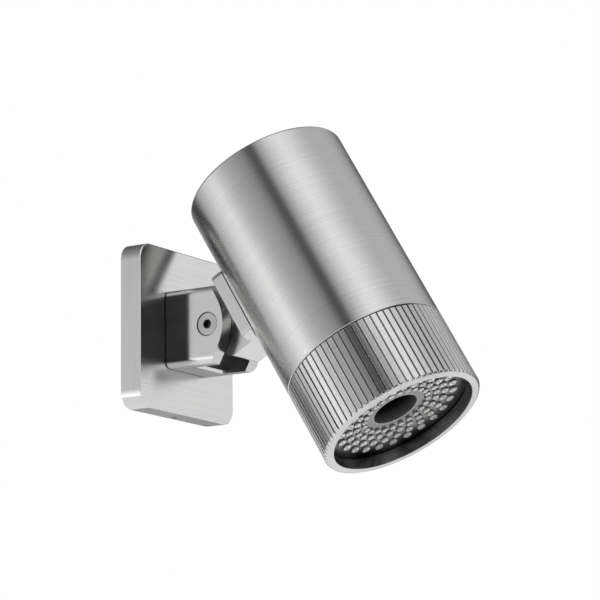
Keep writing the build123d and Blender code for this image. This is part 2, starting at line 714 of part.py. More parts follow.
# Fixed core: screwed into the shell's lower end, it carries the turning front
core_flange_radius = shell_bore - fit_clearance
core_seal_middle = core_top - core_flange_length / 2
with BuildPart() as core_housing:
    glide_groove_radius = ring_bore - glide_thickness - 2 * fit_clearance
    cavity_floor = core_bottom + core_floor
    cavity_radius = core_flange_radius - core_wall
    seal_groove_radius = core_flange_radius - cord_groove_depth
    with BuildSketch(head_section):
        with BuildLine():
            Polyline(
                (0, core_bottom),
                (core_radius, core_bottom),
                (core_radius, core_flange_bottom),
                (core_flange_radius, core_flange_bottom),
                (core_flange_radius, core_seal_middle - cord_groove_length / 2),
                (seal_groove_radius, core_seal_middle - cord_groove_length / 2),
                (seal_groove_radius, core_seal_middle + cord_groove_length / 2),
                (core_flange_radius, core_seal_middle + cord_groove_length / 2),
                (core_flange_radius, core_top),
                (cavity_radius, core_top),
                (cavity_radius, cavity_floor),
                (core_hub_radius, cavity_floor),
                (core_hub_radius, core_bottom + core_hub_height),
                (0, core_bottom + core_hub_height),
                close=True,
            )
        make_face()
    revolve(axis=head_axis)
    with BuildSketch(level(core_bottom + core_floor / 2)):
        with Locations((0, feed_offset)):
            Circle(core_inlet_boss)
    extrude(amount=core_boss_top - core_bottom - core_floor / 2)
    with BuildSketch(level(0)):
        Circle(core_flange_radius)
    extrude(amount=head_length, mode=Mode.INTERSECT)
    with BuildSketch(level(core_bottom)):
        with Locations((0, feed_offset)):
            Circle(feed_tube_diameter / 2 - feed_tube_wall)
    extrude(amount=core_boss_top - core_bottom, mode=Mode.SUBTRACT)
    with BuildSketch(level(tube_bottom)):
        with Locations((0, feed_offset)):
            Circle(feed_tube_diameter / 2 + fit_clearance)
    extrude(amount=feed_tube_socket, mode=Mode.SUBTRACT)
    with BuildSketch(level(glide_bottom - fit_clearance)):
        Circle(ring_bore)
        Circle(glide_groove_radius, mode=Mode.SUBTRACT)
    extrude(amount=glide_height + 2 * fit_clearance, mode=Mode.SUBTRACT)
    # Groove for the port seal, hole for the stop pin, tapped hole for the centre bolt
    with BuildSketch(level(core_bottom)):
        with Locations((0, feed_offset)):
            Circle(feed_tube_diameter / 2 + cord_groove_length)
    extrude(amount=cord_groove_depth, mode=Mode.SUBTRACT)
    with BuildSketch(level(core_bottom)):
        with Locations((0, -stop_pin_radius)):
            Circle(stop_pin_diameter / 2)
        Circle(bolt_diameter / 2 + fit_clearance)
    extrude(amount=core_floor, mode=Mode.SUBTRACT)
    with BuildSketch(level(core_bottom)):
        Circle(bolt_diameter / 2 + fit_clearance)
    extrude(amount=bolt_grip + thread_run_out, mode=Mode.SUBTRACT)

core_seal = cord_seal(rim_centre, head_up, core_flange_radius, core_seal_middle)

# Flat seal round the core's water port, against the turning distributor
with BuildPart() as port_seal:
    with BuildSketch(level(core_bottom)):
        with Locations((0, feed_offset)):
            Circle(feed_tube_diameter / 2 + cord_groove_length - fit_clearance)
            Circle(feed_tube_diameter / 2 - feed_tube_wall, mode=Mode.SUBTRACT)
    extrude(amount=cord_groove_depth)

# Glide band in the core's groove, on which the ring turns
with BuildPart() as glide_band:
    with BuildSketch(level(glide_bottom)):
        Circle(ring_bore - fit_clearance)
        Circle(ring_bore - fit_clearance - glide_thickness, mode=Mode.SUBTRACT)
    extrude(amount=glide_height)

# Stop pin that ends the front's turn
with BuildPart() as stop_pin:
    with BuildSketch(level(distributor_top - stop_slot_depth + turning_gap)):
        with Locations((0, -stop_pin_radius)):
            Circle(stop_pin_diameter / 2)
    extrude(amount=stop_slot_depth + core_floor)

# Centre bolt, its seal and its thrust washer
with BuildPart() as centre_bolt:
    seal_middle = distributor_top - distributor_disc / 2
    bolt_groove_radius = bolt_diameter / 2 - cord_groove_depth
    with BuildSketch(head_section):
        with BuildLine():
            Polyline(
                (0, bolt_head_bottom),
                (bolt_head_diameter / 2, bolt_head_bottom),
                (bolt_head_diameter / 2, bolt_head_top),
                (bolt_diameter / 2, bolt_head_top),
                (bolt_diameter / 2, seal_middle - cord_groove_length / 2),
                (bolt_groove_radius, seal_middle - cord_groove_length / 2),
                (bolt_groove_radius, seal_middle + cord_groove_length / 2),
                (bolt_diameter / 2, seal_middle + cord_groove_length / 2),
                (bolt_diameter / 2, core_bottom + bolt_grip),
                (0, core_bottom + bolt_grip),
                close=True,
            )
        make_face()
    revolve(axis=head_axis)
    with BuildSketch(level(bolt_head_bottom)):
        RegularPolygon(hexagon_radius(bolt_socket), 6)
    extrude(amount=bolt_head_height * 2 / 3, mode=Mode.SUBTRACT)

bolt_seal = cord_seal(rim_centre, head_up, bolt_diameter / 2, distributor_top - distributor_disc / 2)

with BuildPart() as thrust_washer:
    with BuildSketch(level(bolt_head_top + fit_clearance)):
        Circle(thrust_washer_diameter / 2)
        Circle(bolt_diameter / 2 + screw_clearance, mode=Mode.SUBTRACT)
    extrude(amount=thrust_washer_thickness)

# Grooved ring that the user grips; its recess frames the spray face
with BuildPart() as grooved_ring:
    with BuildSketch(head_section):
        with BuildLine():
            Polyline(
                (ring_recess_radius, 0),
                (head_radius - ring_rim_bevel, 0),
                (head_radius, ring_rim_bevel),
                (head_radius, ring_height - seam_bevel),
                (head_radius - seam_bevel, ring_height),
                (ring_bore, ring_height),
                (ring_bore, face_lip_height),
                (ring_recess_radius, face_lip_height),
                close=True,
            )
        make_face()
    revolve(axis=head_axis)
    with BuildSketch(level(0)):
        with PolarLocations(head_radius, ring_grooves, ring_groove_start):
            Rectangle(2 * ring_groove_depth, ring_groove_width)
    extrude(amount=ring_height, mode=Mode.SUBTRACT)

# Spray plate: a dished disc, pierced for the nozzles and the central insert
with BuildPart() as spray_plate:
    plate_edge_radius = ring_bore - seam_gap / 2
    collar_radius = jet_radius + jet_collar_wall
    with BuildSketch(head_section):
        with BuildLine():
            Polyline(
                (collar_radius, face_land_height),
                (face_land_radius, face_land_height),
                (face_lip_radius, face_lip_height),
                (plate_edge_radius, face_lip_height),
                (plate_edge_radius, face_lip_height + face_thickness),
                (face_lip_radius, face_lip_height + face_thickness),
                (face_land_radius, face_land_height + face_thickness),
                (collar_radius, face_land_height + face_thickness),
                close=True,
            )
        make_face()
    revolve(axis=head_axis)
    for ring in range(nozzle_rings):
        ring_radius, first_angle, tip_radius = nozzle_ring(ring)
        root_radius = tip_radius + (nozzle_stand_out + face_thickness * 3 / 2) * tan(radians(nozzle_taper))
        with BuildSketch(level(0)):
            with PolarLocations(ring_radius, nozzles_per_ring, first_angle):
                Circle(root_radius)
        extrude(amount=jet_collar_top, mode=Mode.SUBTRACT)

# Soft mat behind the plate, with a nozzle for each hole
with BuildPart() as nozzle_mat:
    mat_land = face_land_height + face_thickness
    mat_lip = face_lip_height + face_thickness
    with BuildSketch(head_section):
        with BuildLine():
            Polyline(
                (collar_radius + fit_clearance, mat_land),
                (face_land_radius, mat_land),
                (face_lip_radius, mat_lip),
                (plate_edge_radius, mat_lip),
                (plate_edge_radius, mat_lip + mat_thickness),
                (face_lip_radius, mat_lip + mat_thickness),
                (face_land_radius, mat_land + mat_thickness),
                (collar_radius + fit_clearance, mat_land + mat_thickness),
                close=True,
            )
        make_face()
    revolve(axis=head_axis)
    for ring in range(nozzle_rings):
        ring_radius, first_angle, tip_radius = nozzle_ring(ring)
        tip_height = face_height(ring_radius) - nozzle_stand_out
        with BuildSketch(level(tip_height)):
            with PolarLocations(ring_radius, nozzles_per_ring, first_angle):
                Circle(tip_radius)
        extrude(amount=nozzle_stand_out + face_thickness * 3 / 2, taper=-nozzle_taper)

# Insert that lines the central well, with the jet holes in its floor
with BuildPart() as jet_insert:
    with BuildSketch(level(face_land_height)):
        Circle(collar_radius)
    extrude(amount=jet_collar_top - face_land_height)
    with BuildSketch(level(face_land_height)):
        Circle(jet_radius)
    extrude(amount=jet_collar_top - jet_insert_thickness - face_land_height, mode=Mode.SUBTRACT)
    with BuildSketch(level(face_land_height)):
        with PolarLocations(jet_radius * 2 / 3, jet_holes):
            Circle(jet_hole / 2)
    extrude(amount=jet_collar_top, mode=Mode.SUBTRACT)

# Slot line for the stop pin, as long as the front's turn
stop_arc = CenterArc((0, 0), stop_pin_radius, -90 - front_turn, front_turn)

# Distributor: leads the water either to the nozzle chamber or through a duct to the centre
with BuildPart() as distributor:
    outer_radius = ring_bore - fit_clearance
    tube_inner = collar_radius + screw_clearance
    tube_outer = tube_inner + duct_wall
    outer_foot = mat_lip + mat_thickness
    inner_foot = mat_land + mat_thickness
    with BuildSketch(head_section):
        with BuildLine():
            Polyline(
                (bolt_diameter / 2 + fit_clearance, distributor_top),
                (outer_radius, distributor_top),
                (outer_radius, outer_foot),
                (outer_radius - distributor_wall, outer_foot),
                (outer_radius - distributor_wall, disc_underside),
                (tube_outer, disc_underside),
                (tube_outer, inner_foot),
                (tube_inner, inner_foot),
                (tube_inner, disc_underside),
                (bolt_diameter / 2 + fit_clearance, disc_underside),
                close=True,
            )
        make_face()
    revolve(axis=head_axis)
    # Duct from the second port to the central chamber
    duct_end = feed_offset + duct_width / 2
    with BuildSketch(level(disc_underside)):
        with Locations(((tube_inner + duct_wall / 2 + duct_end) / 2, 0)):
            Rectangle(duct_end - tube_inner - duct_wall / 2, duct_width)
    extrude(amount=-duct_height)
    with BuildSketch(level(disc_underside)):
        with Locations(((tube_inner / 2 + duct_end - duct_wall) / 2, 0)):
            Rectangle(duct_end - duct_wall - tube_inner / 2, duct_width - 2 * duct_wall)
    extrude(amount=duct_wall - duct_height, mode=Mode.SUBTRACT)
    with BuildSketch(level(distributor_top)):
        with Locations((0, feed_offset), (feed_offset, 0)):
            Circle(water_channel / 2)
    extrude(amount=-distributor_disc, mode=Mode.SUBTRACT)
    with BuildSketch(level(distributor_top)):
        SlotArc(stop_arc, stop_pin_diameter + 2 * turning_gap)
    extrude(amount=-stop_slot_depth, mode=Mode.SUBTRACT)

pieces = {
    "wall_plate": wall_plate,
    "wall_seal": wall_seal,
    "wall_bracket": wall_bracket,
    "plate_grub_screw": plate_grub_screw,
    "inlet_nipple": inlet_nipple,
    "nipple_seal": nipple_seal,
    "filter_screen": filter_screen,
    "arm_screws": arm_screws,
    "arm_gasket": arm_gasket,
    "fork_arm": fork_arm,
    "pivot_bolt": pivot_bolt,
    "pivot_seal_left": pivot_seal_left,
    "pivot_seal_right": pivot_seal_right,
    "swivel_block": swivel_block,
    "friction_washer_left": friction_washer_left,
    "friction_washer_right": friction_washer_right,
    "saddle_gasket": saddle_gasket,
    "saddle_screws": saddle_screws,
    "head_shell": head_shell,
    "feed_block": feed_block,
    "feed_seal": feed_seal,
    "flow_limiter": flow_limiter,
    "feed_tube": feed_tube,
    "core_housing": core_housing,
    "core_seal": core_seal,
    "port_seal": port_seal,
    "glide_band": glide_band,
    "stop_pin": stop_pin,
    "centre_bolt": centre_bolt,
    "bolt_seal": bolt_seal,
    "thrust_washer": thrust_washer,
    "grooved_ring": grooved_ring,
    "spray_plate": spray_plate,
    "nozzle_mat": nozzle_mat,
    "jet_insert": jet_insert,
    "distributor": distributor,
}
for name, piece in pieces.items():
    piece.part.label = name
    export_step(piece.part, f"parts/{name}.step")
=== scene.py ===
"""Dresses the wall shower head: brushed steel, dark spray face, soft nozzles, inlet thread and studio."""
import json
from math import cos, inf, pi, radians, sin, tan

import bmesh
import bpy
from bpy.props import FloatProperty, FloatVectorProperty, IntProperty, PointerProperty
from mathutils import Matrix, Vector


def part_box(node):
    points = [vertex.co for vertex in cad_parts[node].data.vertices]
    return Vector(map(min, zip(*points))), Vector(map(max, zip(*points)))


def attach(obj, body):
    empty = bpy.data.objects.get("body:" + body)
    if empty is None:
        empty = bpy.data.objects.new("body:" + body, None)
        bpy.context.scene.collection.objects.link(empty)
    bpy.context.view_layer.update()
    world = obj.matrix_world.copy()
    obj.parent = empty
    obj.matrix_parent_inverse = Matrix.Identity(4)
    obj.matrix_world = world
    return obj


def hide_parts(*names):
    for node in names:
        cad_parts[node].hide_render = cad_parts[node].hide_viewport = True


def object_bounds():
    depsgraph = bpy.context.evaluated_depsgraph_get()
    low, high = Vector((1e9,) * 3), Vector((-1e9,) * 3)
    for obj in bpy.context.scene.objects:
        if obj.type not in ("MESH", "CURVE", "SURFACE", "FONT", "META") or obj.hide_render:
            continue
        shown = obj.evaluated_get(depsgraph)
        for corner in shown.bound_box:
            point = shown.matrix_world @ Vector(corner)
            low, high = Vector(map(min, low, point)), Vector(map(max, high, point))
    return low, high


bl_info = {
    "name": "Shower head",
    "version": (1, 0, 0),
    "blender": (4, 5, 0),
    "location": "3D View > Sidebar > Shower head",
    "description": "Finishes and studio for a wall shower head with a grooved turning front",
    "category": "Object",
}

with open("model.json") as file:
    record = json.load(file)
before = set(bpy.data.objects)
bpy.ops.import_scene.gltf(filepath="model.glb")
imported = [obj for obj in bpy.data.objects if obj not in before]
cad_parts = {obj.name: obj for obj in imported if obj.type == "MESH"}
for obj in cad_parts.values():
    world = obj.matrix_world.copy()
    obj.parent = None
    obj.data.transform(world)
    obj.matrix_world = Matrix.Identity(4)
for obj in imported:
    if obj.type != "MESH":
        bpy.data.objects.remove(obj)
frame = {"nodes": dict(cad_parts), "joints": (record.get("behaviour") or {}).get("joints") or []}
nodes = frame["nodes"]
cad_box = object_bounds()
joints = {joint["name"]: joint for joint in frame["joints"]}
pivot_centre = Vector(joints["head_tilt"]["pos_m"])
rim_centre = Vector(joints["front_turn"]["pos_m"])
head_up = Vector(joints["front_turn"]["axis"]).normalized()
across = Vector((1, 0, 0))
head_arm = head_up.cross(across)

# How far a brushed surface stretches its highlights, from 0 to 1
BRUSHED = 0.95
WHITE = (1.0, 1.0, 1.0)


class SteelSettings(bpy.types.PropertyGroup):
    """Finish of the brushed steel"""

    colour: FloatVectorProperty(
        name="Steel colour", description="Colour of the brushed steel", subtype="COLOR", size=3,
        min=0.0, max=1.0, default=(0.65, 0.65, 0.645),
    )
    roughness: FloatProperty(
        name="Roughness", description="Mean roughness of the grain",
        min=0.05, max=1.0, default=0.25, subtype="FACTOR",
    )
    mount_roughness: FloatProperty(
        name="Mount roughness", description="Mean roughness of the plate, arm and swivel block",
        min=0.05, max=1.0, default=0.18, subtype="FACTOR",
    )
    grain_fineness: FloatProperty(
        name="Grain fineness", description="Brush lines per metre across the grain",
        min=100.0, default=2600.0,
    )
    grain_relief: FloatProperty(
        name="Grain relief", description="Height of the brush lines",
        default=0.000004, unit="LENGTH", precision=6,
    )


class TrimSettings(bpy.types.PropertyGroup):
    """Colours of the fasteners, seals and water way"""

    bolt: FloatVectorProperty(
        name="Pivot bolt", description="Colour of the pivot bolt's steel", subtype="COLOR", size=3,
        min=0.0, max=1.0, default=(0.55, 0.55, 0.55),
    )
    bracket: FloatVectorProperty(
        name="Bracket", description="Colour of the wall bracket's steel", subtype="COLOR", size=3,
        min=0.0, max=1.0, default=(0.52, 0.52, 0.52),
    )
    screws: FloatVectorProperty(
        name="Screws", description="Colour of the screws, the pin and the filter", subtype="COLOR", size=3,
        min=0.0, max=1.0, default=(0.5, 0.5, 0.5),
    )
    rubber: FloatVectorProperty(
        name="Rubber", description="Colour of the seals and gaskets", subtype="COLOR", size=3,
        min=0.0, max=1.0, default=(0.022, 0.022, 0.023),
    )
    washers: FloatVectorProperty(
        name="Washers", description="Colour of the slippery plastic", subtype="COLOR", size=3,
        min=0.0, max=1.0, default=(0.80, 0.79, 0.75),
    )
    moulded: FloatVectorProperty(
        name="Moulded plastic", description="Colour of the core and the distributor", subtype="COLOR", size=3,
        min=0.0, max=1.0, default=(0.06, 0.062, 0.065),
    )
    brass: FloatVectorProperty(
        name="Brass", description="Colour of the machined brass", subtype="COLOR", size=3,
        min=0.0, max=1.0, default=(0.71, 0.52, 0.25),
    )


class SpraySettings(bpy.types.PropertyGroup):
    """Spray face and its soft nozzles"""

    face_colour: FloatVectorProperty(
        name="Face colour", description="Colour of the dark spray plate", subtype="COLOR", size=3,
        min=0.0, max=1.0, default=(0.24, 0.24, 0.24),
    )
    nozzle_colour: FloatVectorProperty(
        name="Nozzle colour", description="Colour of the soft nozzles", subtype="COLOR", size=3,
        min=0.0, max=1.0, default=(0.50, 0.50, 0.49),
    )
    rings: IntProperty(name="Nozzle rings", description="Rings of nozzles", min=1, default=4)
    per_ring: IntProperty(name="Nozzles per ring", description="Nozzles in each ring", min=1, default=24)
    first_radius: FloatProperty(
        name="First ring radius", description="Radius of the innermost ring",
        default=0.0166, unit="LENGTH", precision=5,
    )
    ring_pitch: FloatProperty(
        name="Ring pitch", description="Distance between rings",
        default=0.00425, unit="LENGTH", precision=5,
    )
    ring_twist: FloatProperty(
        name="Ring twist", description="Turn from one ring to the next",
        default=radians(4.4), subtype="ANGLE",
    )
    start_angle: FloatProperty(
        name="Start angle", description="Angle of the first nozzle", default=radians(11.2), subtype="ANGLE",
    )
    tip_radius: FloatProperty(
        name="Tip radius", description="Tip radius in the innermost ring",
        default=0.00135, unit="LENGTH", precision=5,
    )
    tip_growth: FloatProperty(
        name="Tip growth", description="Growth of the tip radius from ring to ring",
        default=0.00023, unit="LENGTH", precision=5,
    )
    stand_out: FloatProperty(
        name="Stand-out", description="Height of a nozzle over the plate",
        default=0.0009, unit="LENGTH", precision=5,
    )
    outlet: FloatProperty(
        name="Outlet", description="Share of the tip radius taken by the outlet hole",
        min=0.1, max=0.9, default=0.24, subtype="FACTOR",
    )


class RingSettings(bpy.types.PropertyGroup):
    """Grip of the grooved ring"""

    grooves: IntProperty(name="Grooves", description="Grooves round the ring", min=1, default=75)
    first_groove: FloatProperty(
        name="First groove", description="Angle of the first groove", default=radians(2.0), subtype="ANGLE",
    )
    groove_width: FloatProperty(
        name="Groove width", description="Width of a groove", default=0.0006, unit="LENGTH", precision=5,
    )
    groove_depth: FloatProperty(
        name="Groove depth", description="Depth of a groove", default=0.0006, unit="LENGTH", precision=5,
    )
    groove_edge: FloatProperty(
        name="Groove edge", description="Broken edge of a groove",
        default=0.0002, unit="LENGTH", precision=5,
    )
    rim_bulge: FloatProperty(
        name="Rim bulge", description="Middle of the rim's rounded edge, as a share of the bevel it rounds",
        min=0.3717, max=0.5, default=0.3725, subtype="FACTOR",
    )


class InletSettings(bpy.types.PropertyGroup):
    """Thread of the inlet nipple"""

    thread_pitch: FloatProperty(
        name="Thread pitch", description="Pitch of the half-inch pipe thread", default=0.001814,
        unit="LENGTH", precision=6,
    )
    thread_depth: FloatProperty(
        name="Thread depth", description="Depth of the thread", default=0.00116, unit="LENGTH", precision=6,
    )


class StudioSettings(bpy.types.PropertyGroup):
    """Camera and light"""

    azimuth: FloatProperty(
        name="Azimuth", description="Camera direction round the object",
        default=radians(-57.748), subtype="ANGLE",
    )
    elevation: FloatProperty(
        name="Elevation", description="Camera height angle", default=radians(-11.078), subtype="ANGLE",
    )
    roll: FloatProperty(name="Roll", description="Camera roll", default=radians(-0.625), subtype="ANGLE")
    lens: FloatProperty(name="Lens", description="Focal length for a 36 mm sensor", default=201.35)
    place: FloatVectorProperty(
        name="Camera place", description="Camera position", size=3, subtype="TRANSLATION", unit="LENGTH",
        default=(-1.33015, -0.91568, -0.29794),
    )
    light: FloatProperty(name="Light level", description="Brightness of the light tent", min=0.0, default=1.1)
    floor_depth: FloatProperty(
        name="Floor depth", description="Depth of the floor under the object's frame origin",
        default=0.62, unit="LENGTH",
    )


# Shader building blocks


class Wiring:
    """Short calls that add nodes to one node tree."""

    def __init__(self, tree):
        self.tree = tree

    def node(self, kind, *inputs, **settings):
        """Add a node; each input is a socket, a value or None to leave it."""
        made = self.tree.nodes.new(kind)
        for key, value in settings.items():
            setattr(made, key, value)
        for socket, given in zip(made.inputs, inputs):
            self.feed(socket, given)
        return made

    def feed(self, socket, given):
        """Link a socket to a socket, set it to a value, or leave it on None."""
        if isinstance(given, bpy.types.NodeSocket):
            self.tree.links.new(given, socket)
        elif given is not None:
            socket.default_value = given

    def math(self, operation, *inputs):
        return self.node("ShaderNodeMath", *inputs, operation=operation).outputs[0]

    def vector(self, operation, *inputs):
        made = self.node("ShaderNodeVectorMath", *inputs, operation=operation)
        return made.outputs["Value" if operation in ("DOT_PRODUCT", "LENGTH") else "Vector"]

    def place(self):
        return self.node("ShaderNodeTexCoord").outputs["Object"]

    def out_from(self, place, centre, axis):
        """Vector from the axis through the centre out to a place."""
        out = self.vector("SUBTRACT", place, tuple(centre))
        return self.vector("SUBTRACT", out, self.vector("PROJECT", out, tuple(axis)))

    def height_over(self, place, centre, axis):
        """Height of a place over the centre, along the axis."""
        return self.vector("DOT_PRODUCT", self.vector("SUBTRACT", place, tuple(centre)), tuple(axis))

    def noise(self, vector, scale, detail=3.0, roughness=0.55):
        made = self.node("ShaderNodeTexNoise", noise_dimensions="3D")
        self.feed(made.inputs["Vector"], vector)
        self.feed(made.inputs["Scale"], scale)
        self.feed(made.inputs["Detail"], detail)
        self.feed(made.inputs["Roughness"], roughness)
        return made.outputs["Fac"]

    def spread(self, value, low, high, start=0.3, end=0.7):
        """Carry the span from start to end, which unless given is a noise's, onto that from low to high."""
        return self.node("ShaderNodeMapRange", value, start, end, low, high).outputs[0]

    def ease(self, value, start, end, low=0.0, high=1.0):
        """Carry a span onto another as spread does, but with soft ends and the given span first."""
        made = self.node("ShaderNodeMapRange", value, start, end, low, high, interpolation_type="SMOOTHSTEP")
        return made.outputs[0]

    def weigh(self, first, second, share):
        """Mean of two values, in which the second has this share."""
        return self.math("ADD", self.math("MULTIPLY", first, 1 - share), self.math("MULTIPLY", second, share))

    def mix(self, kind, amount, first, second):
        """Blend two colours (RGBA) or vectors (VECTOR) by an amount."""
        made = self.node("ShaderNodeMix", amount, data_type=kind)
        ends = [socket for socket in made.inputs if socket.type == kind and socket.name in ("A", "B")]
        for socket, given in zip(ends, (first, second)):
            self.feed(socket, given)
        return next(socket for socket in made.outputs if socket.type == kind)

    def blend_colours(self, amount, first, second):
        return self.mix("RGBA", amount, (*first, 1.0), (*second, 1.0))

    def relief(self, height, depth, strength):
        made = self.node("ShaderNodeBump")
        self.feed(made.inputs["Height"], height)
        self.feed(made.inputs["Distance"], depth)
        self.feed(made.inputs["Strength"], strength)
        return made.outputs["Normal"]

    def ramp(self, value, stops):
        """Carry a value from -1 to 1 onto grey levels, straight between stops of (value, level)."""
        made = self.node("ShaderNodeValToRGB", self.math("MULTIPLY_ADD", value, 0.5, 0.5))
        steps = made.color_ramp.elements
        while len(steps) < len(stops):
            steps.new(0.5)
        for step, (place, level) in zip(steps, stops):
            step.position = (place + 1) / 2
            step.color = (level, level, level, 1)
        return made.outputs["Color"]

    def lighten(self, colour, amount):
        """Carry a grey level towards white by this amount."""
        return self.vector("MULTIPLY_ADD", self.vector("SUBTRACT", WHITE, colour), amount, colour)

    def seen_white(self, shader, share, *rays):
        """Show these kinds of ray this share of plain white in place of the shader."""
        white = self.node("ShaderNodeEmission", (*WHITE, 1.0), 1.0)
        path = self.node("ShaderNodeLightPath")
        picked = path.outputs[rays[0]]
        for ray in rays[1:]:
            picked = self.math("MAXIMUM", picked, path.outputs[ray])
        picked = self.math("MULTIPLY", picked, share)
        return self.node("ShaderNodeMixShader", picked, shader, white.outputs[0]).outputs[0]


class Finish(Wiring):
    """A material under construction."""

    def __init__(self, name, metallic=0.0, anisotropic=0.0):
        self.material = bpy.data.materials.new(name)
        self.material.use_nodes = True
        super().__init__(self.material.node_tree)
        self.surface = self.tree.nodes["Principled BSDF"]
        self.surface.inputs["Metallic"].default_value = metallic
        self.surface.inputs["Anisotropic"].default_value = anisotropic

    def complete(self, colour=None, roughness=None, normal=None, tangent=None):
        """Feed the shader and hand over the material."""
        self.feed(self.surface.inputs["Base Color"], colour)
        self.feed(self.surface.inputs["Roughness"], roughness)
        self.feed(self.surface.inputs["Normal"], normal)
        self.feed(self.surface.inputs["Tangent"], tangent)
        return self.material

    def darken(self, share):
        """Keep only this share of the colour that the shader is fed."""
        colour = self.surface.inputs["Base Color"]
        self.feed(colour, self.vector("MULTIPLY", colour.links[0].from_socket, share))


def tint(colour, factor):
    """The colour made lighter or darker, kept within range."""
    return tuple(min(1.0, channel * factor) for channel in colour)


def world_tangent(finish, scratch):
    """Direction across the scratches and in the surface, along which steel spreads the light."""
    turned = finish.node(
        "ShaderNodeVectorTransform", scratch, vector_type="VECTOR", convert_from="OBJECT", convert_to="WORLD"
    )
    normal = finish.node("ShaderNodeNewGeometry").outputs["Normal"]
    return finish.vector("CROSS_PRODUCT", turned.outputs[0], normal)


def steel_surface(finish, grain, smudge_place, settings, tangent, colour=None, roughness=None):
    """Colour, roughness and relief of brushed steel from its grain coordinates."""
    colour = tuple(colour or settings.colour)
    roughness = roughness or settings.roughness
    roughness_sway = 0.03
    dark_line, bright_line = tint(colour, 0.955), tint(colour, 1.04)
    lines = finish.noise(grain, scale=1.0, detail=5.0, roughness=0.62)
    broad = finish.noise(grain, scale=0.22, detail=2.0, roughness=0.5)
    smudges = finish.noise(smudge_place, scale=38.0, detail=3.0, roughness=0.5)
    mixed = finish.weigh(lines, broad, 0.15)
    shade = finish.blend_colours(finish.spread(mixed, 0.0, 1.0), dark_line, bright_line)
    grain_roughness = finish.spread(mixed, roughness + roughness_sway, roughness - roughness_sway)
    rough = finish.math("ADD", grain_roughness, finish.spread(smudges, -0.015, 0.02))
    normal = finish.relief(lines, settings.grain_relief, strength=0.04)
    return finish.complete(shade, rough, normal, tangent)


def turned_steel(name, centre, axis, settings, along=18.0, anisotropic=BRUSHED, colour=None, shading=None):
    """Steel brushed round an axis, with this many noise cells per metre along the brushing.

    shading gives the share of the colour kept as painted shade, from a finish, a radius and a height."""
    finish = Finish(name, 1.0, anisotropic)
    place = finish.place()
    height = finish.height_over(place, centre, axis)
    radial = finish.out_from(place, centre, axis)
    radius = finish.vector("LENGTH", radial)
    lines = finish.math("MULTIPLY", finish.math("ADD", height, radius), settings.grain_fineness)
    rise = finish.node("ShaderNodeVectorMath", tuple(axis), operation="SCALE")
    finish.feed(rise.inputs["Scale"], lines)
    grain = finish.vector("MULTIPLY_ADD", radial, (along,) * 3, rise.outputs[0])
    scratch = finish.vector("NORMALIZE", finish.vector("CROSS_PRODUCT", tuple(axis), radial))
    made = steel_surface(finish, grain, place, settings, world_tangent(finish, scratch), colour)
    if shading:
        finish.darken(shading(finish, radius, height))
    return made


def straight_steel(name, settings, side_direction, colour=None, roughness=None, slot=None):
    """Steel brushed along X, or along side_direction where it faces X.

    slot is the half width across X and the Y of the floor of the slot, inside which the colour is halved as
    painted shade."""
    along = 14.0
    finish = Finish(name, 1.0, BRUSHED)
    coordinates = finish.node("ShaderNodeTexCoord")
    place = coordinates.outputs["Object"]
    facing = finish.vector("DOT_PRODUCT", coordinates.outputs["Normal"], tuple(across))
    sideways = finish.math("GREATER_THAN", finish.math("ABSOLUTE", facing), 0.7)
    scratch = finish.mix("VECTOR", sideways, tuple(across), tuple(side_direction))
    length = finish.vector("PROJECT", place, scratch)
    crossing = finish.vector("SUBTRACT", place, length)
    stretched = finish.vector("MULTIPLY", length, (along,) * 3)
    grain = finish.vector("MULTIPLY_ADD", crossing, (settings.grain_fineness,) * 3, stretched)
    made = steel_surface(finish, grain, place, settings, world_tangent(finish, scratch), colour, roughness)
    if slot:
        half_width, floor = slot
        # Painted shade: the colour inside the slot is halved.
        slot_shade_share = 0.5
        parts = finish.node("ShaderNodeSeparateXYZ", place).outputs
        within = finish.math("LESS_THAN", finish.math("ABSOLUTE", parts["X"]), half_width)
        ahead = finish.math("LESS_THAN", parts["Y"], floor)
        in_slot = finish.math("MULTIPLY", within, ahead)
        finish.darken(finish.spread(in_slot, 1.0, slot_shade_share, start=0.0, end=1.0))
    return made


def grained(name, colour, roughness, scale, metallic=0.0, relief=0.00003, contrast=0.12):
    """Moulded, cast or machined surface: mottled colour, uneven roughness and a fine relief."""
    roughness_sway = 0.06
    finish = Finish(name, metallic)
    place = finish.place()
    fine = finish.noise(place, scale, detail=4.0, roughness=0.6)
    broad = finish.noise(place, scale / 18, detail=3.0, roughness=0.5)
    mottle = finish.spread(broad, 0.0, 1.0)
    shade = finish.blend_colours(mottle, tint(colour, 1 - contrast), tint(colour, 1 + contrast))
    mixed = finish.weigh(fine, broad, 0.5)
    rough = finish.spread(mixed, roughness - roughness_sway, roughness + roughness_sway)
    return finish.complete(shade, rough, finish.relief(fine, relief, strength=0.5))


def dress(material, *names):
    """Give CAD nodes this material."""
    for name in names:
        mesh = nodes[name].data
        mesh.materials.clear()
        mesh.materials.append(material)


# Mesh building blocks


def head_point(height, radius, angle):
    """Point in the head's frame: height over the rim, radius, and angle from +X towards the wall."""
    return rim_centre + head_up * height + (across * cos(angle) + head_arm * sin(angle)) * radius


def head_section(name):
    """Height over the rim and radius of each corner of a CAD node, in the head's frame."""
    out = [corner.co - rim_centre for corner in nodes[name].data.vertices]
    return [(point.dot(head_up), (point - head_up * point.dot(head_up)).length) for point in out]


def even_stations(count):
    """Angles spread evenly, with no limit on the radius."""
    return [(2 * pi * step / count, inf) for step in range(count)]


